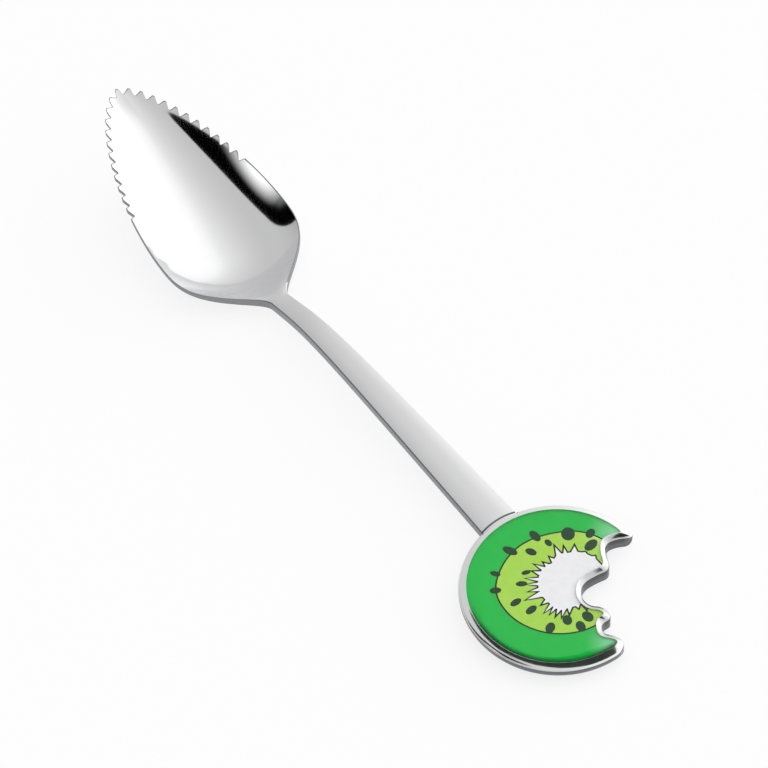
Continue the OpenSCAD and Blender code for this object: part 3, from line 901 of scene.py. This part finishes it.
def unevenMetal(name, look):  # one noise gives the metal its dents and its uneven gloss
    material, add, place = newMaterial(name)
    dents = add("TexNoise", {
        "Vector": place, "Scale": perSpacing(look["dentSpacing"]), "Detail": look["detail"]})
    (low, high), (smooth, dull) = look["noiseSpan"], look["roughness"]
    rough = add("MapRange", {
        **softly, "Value": dents, "From Min": low, "From Max": high, "To Min": smooth, "To Max": dull})
    bump = add("Bump", {
        "Height": dents, "Strength": look["dentStrength"], "Distance": look["dentDepth"] * mm})
    return material, add, place, {"Metallic": 1.0, "Roughness": rough, "Normal": bump}


steelEdge = {
    # painted shade: darker than the faces, for the dark surroundings that the edge reflects
    "colour": "#909294",
    "roughness": (0.26, 0.38),
    "dentSpacing": 0.4,
    "dentDepth": 0.02,
    "dentStrength": 0.2,
    "detail": 4.0,
    "noiseSpan": (0.3, 0.7),
}


def makeSteelEdge():
    # The sheared edge of the blank, only tumbled: duller than the faces beside it, and a darker colour that
    # is painted shade
    material, add, _, finish = unevenMetal("tumbledSteelEdge", steelEdge)
    shader = add("BsdfPrincipled", {**finish, "Base Color": steelEdge["colour"]})
    add("OutputMaterial", {"Surface": shader})
    return material


plating = {
    "colour": "#fafbfb",
    "shadedBiteColour": "#d4d5d6",  # painted shade: the rim round the bites is shown darker
    "biteShadeFrom": 15.9,  # mm from the medallion's centre, between which the bites' painted shade sets in
    "biteTo": 14.7,
    "roughness": (0.1, 0.15),
    "dentSpacing": 2.5,  # mm between the soft swells that polishing leaves in a casting
    "dentDepth": 0.05,
    "dentStrength": 0.25,
    "detail": 1.0,
    "noiseSpan": (0.2, 0.8),
}


def fromMedallion(add, place):  # offset and distance from the medallion's centre
    offset = add("VectorMath", {"operation": "SUBTRACT", 0: place, 1: tablePlace.translation})
    return offset, add("VectorMath", {"operation": "LENGTH", 0: offset}, "Value")


def biteShare(add, radius):  # 1 in the bites, 0 along the round side
    return add("MapRange", {
        **softly, "Value": radius, "From Min": plating["biteTo"] * mm, "From Max": plating["biteShadeFrom"] * mm,
        "To Min": 1, "To Max": 0})


def makePlating():
    # Die-cast zinc, tumbled, then nickel and chrome plated: bright, with the casting's soft swells, and a
    # painted shade that darkens the rim round the bites
    material, add, place, finish = unevenMetal("platedDieCastZinc", plating)
    _, radius = fromMedallion(add, place)
    # painted shade: a darker colour on the rim round the bites
    shown = add("Mix", {
        "data_type": "RGBA", 0: biteShare(add, radius), 6: plating["colour"], 7: plating["shadedBiteColour"]}, 2)
    shader = add("BsdfPrincipled", {**finish, "Base Color": shown})
    add("OutputMaterial", {"Surface": shader})
    return material


wall = {
    # painted shade: kept far darker than the rim's plate, for the shade that the wall reflects
    "colour": "#747678",
    "shadedBiteColour": "#565a57",  # painted shade: the bites' walls are shown darker
    "darkFrom": -1.0,  # mm below the medallion's face, between which the painted shade on the bites' walls fades
    "darkTo": -2.3,
    "roughness": (0.16, 0.24),
    "dentSpacing": 0.5,
    "dentDepth": 0.02,
    "dentStrength": 0.15,
    "detail": 3.0,
    "noiseSpan": (0.3, 0.7),
}


def makeTumbledWall():
    # The same plate over the casting's wall and back, which were tumbled but never polished: a soft grey
    # shine, with the fine pits that the tumbling stones leave; a painted shade makes it darker than the rim,
    # and darker still in the bites' walls
    material, add, place, finish = unevenMetal("platedTumbledZinc", wall)
    offset, radius = fromMedallion(add, place)
    upward = leanTurn @ Vector((0, 0, 1))
    level = add("VectorMath", {"operation": "DOT_PRODUCT", 0: offset, 1: upward}, "Value")
    high = add("MapRange", {
        **softly, "Value": level, "From Min": wall["darkTo"] * mm, "From Max": wall["darkFrom"] * mm})
    # painted shade: the bites' walls darker towards the top
    dark = add("Math", {"operation": "MULTIPLY", 0: biteShare(add, radius), 1: high})
    shown = add("Mix", {"data_type": "RGBA", 0: dark, 6: wall["colour"], 7: wall["shadedBiteColour"]}, 2)
    shader = add("BsdfPrincipled", {**finish, "Base Color": shown})
    add("OutputMaterial", {"Surface": shader})
    return material


enamel = {
    "skin_enamel": ("skinGreenEnamel", "#18bc49", "#14b543"),
    "flesh_enamel": ("fleshLimeEnamel", "#a5d44f", "#addb51"),
    "core_enamel": ("coreWhiteEnamel", "#f0f0f2", "#eaeaed"),
    "seed_enamel": ("seedDarkGreenEnamel", "#1b4227", "#143a20"),
    "outline_enamel": ("outlineBlackEnamel", "#0c160f", "#070e0a"),
    "mottleSpacing": 1.2,  # mm between the faint clouds that stirring leaves in the pigment
    "mottle": 0.6,
    "grainSpacing": 0.12,  # mm between pigment grains, drawn coarse enough to show
    "grain": 0.35,
    "paintedShadeColour": "#20382a",
    "paintedShadeSide": (0.787, -0.617, 0.0),  # painted shade: the side on which the skin is shown darker next to the rim
    "paintedShadeFrom": 13.9,
    "paintedShadeTo": 15.3,
    "paintedSheenColours": {"skin_enamel": "#93dcaa", "flesh_enamel": "#dcefae"},
    "paintedSheenPlaces": ((15.0, 0.7, 5.5), (-1.5, 15.3, 7.0)),  # where a painted sheen makes the horns paler: x, y, reach
    "paintedSheenStrength": 0.9,
}


def makeEnamel(node):
    # Soft enamel, syringed into its cell and baked: an even, strong colour with faint clouds of
    # pigment; a painted sheen makes it paler at the horns, and in the skin a painted shade makes it darker
    # along its lowest edge
    name, colour, clouded = enamel[node]
    material, add, place = newMaterial(name)
    clouds = add("TexNoise", {"Vector": place, "Scale": perSpacing(enamel["mottleSpacing"]), "Detail": 2.0})
    grains = add("TexNoise", {"Vector": place, "Scale": perSpacing(enamel["grainSpacing"]), "Detail": 0.0})
    mottle = add("MapRange", {
        **softly, "Value": clouds, "From Min": 0.35, "From Max": 0.7, "To Max": enamel["mottle"]})
    factor = add("Math", {
        "operation": "MULTIPLY_ADD", "use_clamp": True, 0: grains, 1: enamel["grain"], 2: mottle})
    shown = add("Mix", {"data_type": "RGBA", 0: factor, 6: colour, 7: clouded}, 2)
    # painted sheen: the colour turns paler near the two horns
    if node in enamel["paintedSheenColours"]:
        for x, y, reach in enamel["paintedSheenPlaces"]:
            away = add("VectorMath", {
                "operation": "DISTANCE", 0: place, 1: tablePlace @ (Vector((x, y, 0)) * mm)}, "Value")
            paintedSheen = add("MapRange", {
                **softly, "Value": away, "From Min": 0, "From Max": reach * mm,
                "To Min": enamel["paintedSheenStrength"], "To Max": 0})
            shown = add("Mix", {"data_type": "RGBA", 0: paintedSheen, 6: shown, 7: enamel["paintedSheenColours"][node]}, 2)
    # painted shade: the skin darkens towards the rim on one side
    if node == "skin_enamel":
        offset, radius = fromMedallion(add, place)
        side = add("VectorMath", {"operation": "DOT_PRODUCT", 0: offset, 1: enamel["paintedShadeSide"]}, "Value")
        share = add("Math", {"operation": "DIVIDE", 0: side, 1: radius})
        start, full = enamel["paintedShadeFrom"] * mm, enamel["paintedShadeTo"] * mm
        near = add("MapRange", {**softly, "Value": radius, "From Min": start, "From Max": full})
        turned = add("MapRange", {**softly, "Value": share, "From Min": 0.05, "From Max": 0.75})
        paintedShadeAmount = add("Math", {"operation": "MULTIPLY", 0: near, 1: turned})
        shown = add("Mix", {"data_type": "RGBA", 0: paintedShadeAmount, 6: shown, 7: enamel["paintedShadeColour"]}, 2)
    shader = add("BsdfPrincipled", {
        "Roughness": 0.5, "Specular IOR Level": 0.0, "Base Color": shown})  # dull, because the resin wets it
    add("OutputMaterial", {"Surface": shader})
    return material


resin = {
    "index": 1.5,
    "rippleSpacing": 3.0,  # mm between the faint ripples of its skin
    "roughness": (0.01, 0.03),
}


def makeResin():
    # Clear polyurethane, poured and cured to a shallow dome: a wet gloss over colours that show through
    material, add, place = newMaterial("pouredClearResin")
    ripple = add("TexNoise", {"Vector": place, "Scale": perSpacing(resin["rippleSpacing"]), "Detail": 0.0})
    smooth, dull = resin["roughness"]
    rough = add("MapRange", {
        **softly, "Value": ripple, "From Min": 0.2, "From Max": 0.8, "To Min": smooth, "To Max": dull})
    gloss = add("BsdfGlossy", {"Color": "#ffffff", "Roughness": rough})
    clear = add("BsdfTransparent", {"Color": "#ffffff"})
    fresnel = add("Fresnel", {"IOR": resin["index"]})
    inner = add("NewGeometry", out="Backfacing")
    outer = add("Math", {"operation": "SUBTRACT", 0: 1.0, 1: inner})
    share = add("Math", {"operation": "MULTIPLY", 0: fresnel, 1: outer})
    mixed = add("MixShader", {0: share, 1: clear, 2: gloss})
    add("OutputMaterial", {"Surface": mixed})
    return material


glue = {
    "colours": ("#cdbb8c", "#b9a36f"),
    "roughness": 0.4,
    "index": 1.55,
    "mottleSpacing": 0.8,
}


def makeGlue():
    # Cured two-part epoxy, squeezed thin round the tang: amber, with a dull skin
    material, add, place = newMaterial("curedAmberEpoxy")
    mottle = add("TexNoise", {"Vector": place, "Scale": perSpacing(glue["mottleSpacing"]), "Detail": 2.0})
    pale, deep = glue["colours"]
    shown = add("Mix", {"data_type": "RGBA", 0: mottle, 6: pale, 7: deep}, 2)
    shader = add("BsdfPrincipled", {
        "Roughness": glue["roughness"], "IOR": glue["index"], "Base Color": shown})
    add("OutputMaterial", {"Surface": shader})
    return material


def wear(piece, *materials):
    slots = piece.data.materials
    for index, material in enumerate(materials):  # clearing the slots would lose the faces' own choice
        if index < len(slots):
            slots[index] = material
        else:
            slots.append(material)


wear(spoonBlank, makeSteel(), makeSteelEdge())
wear(castingPiece, makePlating(), makeTumbledWall())
wear(lipPiece, castingPiece.data.materials[1])
wear(coatPiece, makeResin())
wear(frame["nodes"]["tang_adhesive"], makeGlue())
for node, piece in fields.items():
    wear(piece, makeEnamel(node))
print("materials made")


# Studio: a pale sheet under a soft sky that is brightest to one side, with a long dark gap low on
# the other, which only polished metal shows, and a dark card above the medallion

studio = {
    "floorColours": ("#f8f8f8", "#f4f4f4"),
    "floorRadius": 1.6,
    "floorSides": 96,
    "fibreSpacing": 1.5,
    "fibre": 0.4,
    "ownGlow": 0.8,  # share of the sheet that shows as plain white, so that shadows stay light
    "mirroredGlow": 0.35,  # the same in the metal, where the shade under the spoon stays to be seen
    "brightSide": (0.306, 0.883, 0.357),
    "sky": ((-1.0, 0.3), (-0.6, 0.45), (-0.4, 0.6), (0.0, 0.65), (0.3, 0.765), (0.5, 0.91), (0.65, 1.13),
            (0.78, 1.25), (0.88, 1.5), (1.0, 1.7)),  # share towards the bright side, and strength there
    "dimShare": 0.22,  # the sky is dimmer towards the medallion's end of the bright side
    "dimAlong": (0.18, 0.4),
    "dimAcross": (-0.1, 0.25),
    "gapPlace": (-0.305, 1.176),  # along and above, in shares of the distance to the side
    "gapSize": (0.93, 0.36),
    "gapTurn": 33.0,
    "gapEdge": (0.97, 1.02),
    "glowPlace": (-0.22, 0.74),
    "glowSize": (0.31, 0.56),
    "glow": 1.6,
    "nearest": 0.02,  # keeps the shares finite past the side
}
softbox = {
    "size": 1.2,
    "height": 1.0,
    "energy": 2.5,
}
flag = {  # a dark card low over the medallion, in millimetres from the medallion's centre
    "colour": "#2c362f",
    "height": 40.0,
    "outer": ((-35.0, -24.0), (-21.7, -33.5), (-7.0, -35.0), (11.5, -28.0), (27.0, -19.0), (42.0, -4.0),
              (45.0, 10.0), (45.0, 18.0)),
    "inner": ((-30.0, -15.0), (-20.0, -14.0), (-11.0, -12.0), (-2.0, -7.0), (1.0, -2.0), (3.0, 6.0),
              (3.0, 10.0), (6.0, 17.0)),
}


def stageObject(name, data):
    holder = bpy.data.objects.new(name, data)
    bpy.context.scene.collection.objects.link(holder)
    return holder


def makeFloor():
    mesh = bpy.data.meshes.new("paperSheet")
    ring = onCircle(np.arange(studio["floorSides"]) * 360 / studio["floorSides"]) * studio["floorRadius"]
    mesh.from_pydata([(x, y, 0) for x, y in ring], [], [list(range(len(ring)))])
    material, add, place = newMaterial("matteWhitePaper")
    fibre = add("TexNoise", {"Vector": place, "Scale": perSpacing(studio["fibreSpacing"]), "Detail": 3.0})
    factor = add("MapRange", {
        **softly, "Value": fibre, "From Min": 0.3, "From Max": 0.7, "To Max": studio["fibre"]})
    plain, shaded = studio["floorColours"]
    shown = add("Mix", {"data_type": "RGBA", 0: factor, 6: plain, 7: shaded}, 2)
    paper = add("BsdfDiffuse", {"Color": shown})
    white = add("Emission", {"Color": "#ffffff", "Strength": 1.0})
    inMetal = add("LightPath", out="Is Glossy Ray")
    mirrored = add("Math", {"operation": "MULTIPLY", 0: inMetal, 1: studio["mirroredGlow"]})
    seen = add("LightPath", out="Is Camera Ray")
    share = add("Math", {"operation": "MULTIPLY_ADD", 0: seen, 1: studio["ownGlow"], 2: mirrored})
    mixed = add("MixShader", {0: share, 1: paper, 2: white})
    add("OutputMaterial", {"Surface": mixed})
    wear(stageObject("paperSheet", mesh), material)


def ellipseShare(add, flattened, place, size, turn):  # distance from an ellipse's middle, 1 at its edge
    moved = add("Mapping", {
        "vector_type": "TEXTURE", "Vector": flattened, "Location": (place[0], -1, place[1]),
        "Rotation": (0, -math.radians(turn), 0), "Scale": (size[0], 1, size[1])})
    return add("VectorMath", {"operation": "LENGTH", 0: moved}, "Value")


def makeSky(add, direction):  # brightest towards one side, with one end of that side dimmed
    side = add("VectorMath", {"operation": "DOT_PRODUCT", 0: direction, 1: studio["brightSide"]}, "Value")
    level = add("FloatCurve", {"Value": side})
    mapping = level.node.mapping
    mapping.extend = "HORIZONTAL"
    mapping.use_clip = False
    ends, between = mapping.curves[0].points, studio["sky"][2:]
    for point, spot in zip(ends, studio["sky"]):
        point.location = spot
    for spot in between:
        ends.new(*spot)
    mapping.update()
    dims = []
    for axis, span in (("X", studio["dimAlong"]), ("Y", studio["dimAcross"])):
        part = add("SeparateXYZ", {0: direction}, axis)
        dims.append(add("MapRange", {**softly, "Value": part, "From Min": span[0], "From Max": span[1]}))
    towards = add("Math", {"operation": "MULTIPLY", 0: dims[0], 1: dims[1]})
    kept = add("MapRange", {**softly, "Value": towards, "To Min": 1, "To Max": 1 - studio["dimShare"]})
    return add("Math", {"operation": "MULTIPLY", 0: level, 1: kept})


def makeWorld():
    world = bpy.data.worlds.new("softStudio")
    bpy.context.scene.world = world
    world.use_nodes = True
    world.node_tree.nodes.clear()
    add = partial(addNode, world.node_tree)
    direction = add("TexCoord", out="Generated")
    across = add("SeparateXYZ", {0: direction}, "Y")
    away = add("Math", {"operation": "MULTIPLY", 0: across, 1: -1.0})
    near = add("Math", {"operation": "MAXIMUM", 0: away, 1: studio["nearest"]})
    share = add("Math", {"operation": "DIVIDE", 0: 1.0, 1: near})
    flattened = add("VectorMath", {"operation": "SCALE", 0: direction, "Scale": share})
    gap = ellipseShare(add, flattened, studio["gapPlace"], studio["gapSize"], studio["gapTurn"])
    dark = add("MapRange", {
        **softly, "Value": gap, "From Min": studio["gapEdge"][0], "From Max": studio["gapEdge"][1],
        "To Min": 1, "To Max": 0})
    spot = ellipseShare(add, flattened, studio["glowPlace"], studio["glowSize"], 0)
    glow = add("MapRange", {**softly, "Value": spot, "To Min": studio["glow"], "To Max": 0})
    strength = add("Mix", {"data_type": "FLOAT", 0: dark, 2: makeSky(add, direction), 3: glow})
    around = add("Background", {"Color": "#ffffff", "Strength": strength})
    plain = add("Background", {"Color": "#ffffff", "Strength": 1.0})
    seen = add("LightPath", out="Is Camera Ray")
    mixed = add("MixShader", {0: seen, 1: around, 2: plain})
    add("OutputWorld", {"Surface": mixed})


def makeFlag():
    ring = np.array(flag["outer"] + flag["inner"][::-1])
    mesh = bpy.data.meshes.new("darkCard")
    last, half = len(ring) - 1, len(flag["outer"])
    corners = onTable(np.column_stack([ring, np.full(len(ring), flag["height"])]))
    mesh.from_pydata([tuple(p) for p in corners], [],
                     [(k, k + 1, last - k - 1, last - k) for k in range(half - 1)])
    card = stageObject("darkCard", mesh)
    card.visible_camera = card.visible_diffuse = card.visible_shadow = card.visible_transmission = False
    material, add, _ = newMaterial("darkFelt")
    shader = add("BsdfDiffuse", {"Color": flag["colour"]})
    add("OutputMaterial", {"Surface": shader})
    wear(card, material)


def makeSoftbox():  # a broad lamp overhead that polish does not show
    lamp = bpy.data.lights.new("softbox", "AREA")
    lamp.shape, lamp.size, lamp.energy = "DISK", softbox["size"], softbox["energy"]
    holder = stageObject("softbox", lamp)
    holder.location = (0, 0, softbox["height"])
    holder.visible_glossy = holder.visible_camera = False


makeFloor()
makeWorld()
makeFlag()
makeSoftbox()
bpy.context.scene.view_settings.view_transform = "Standard"
print("studio set")
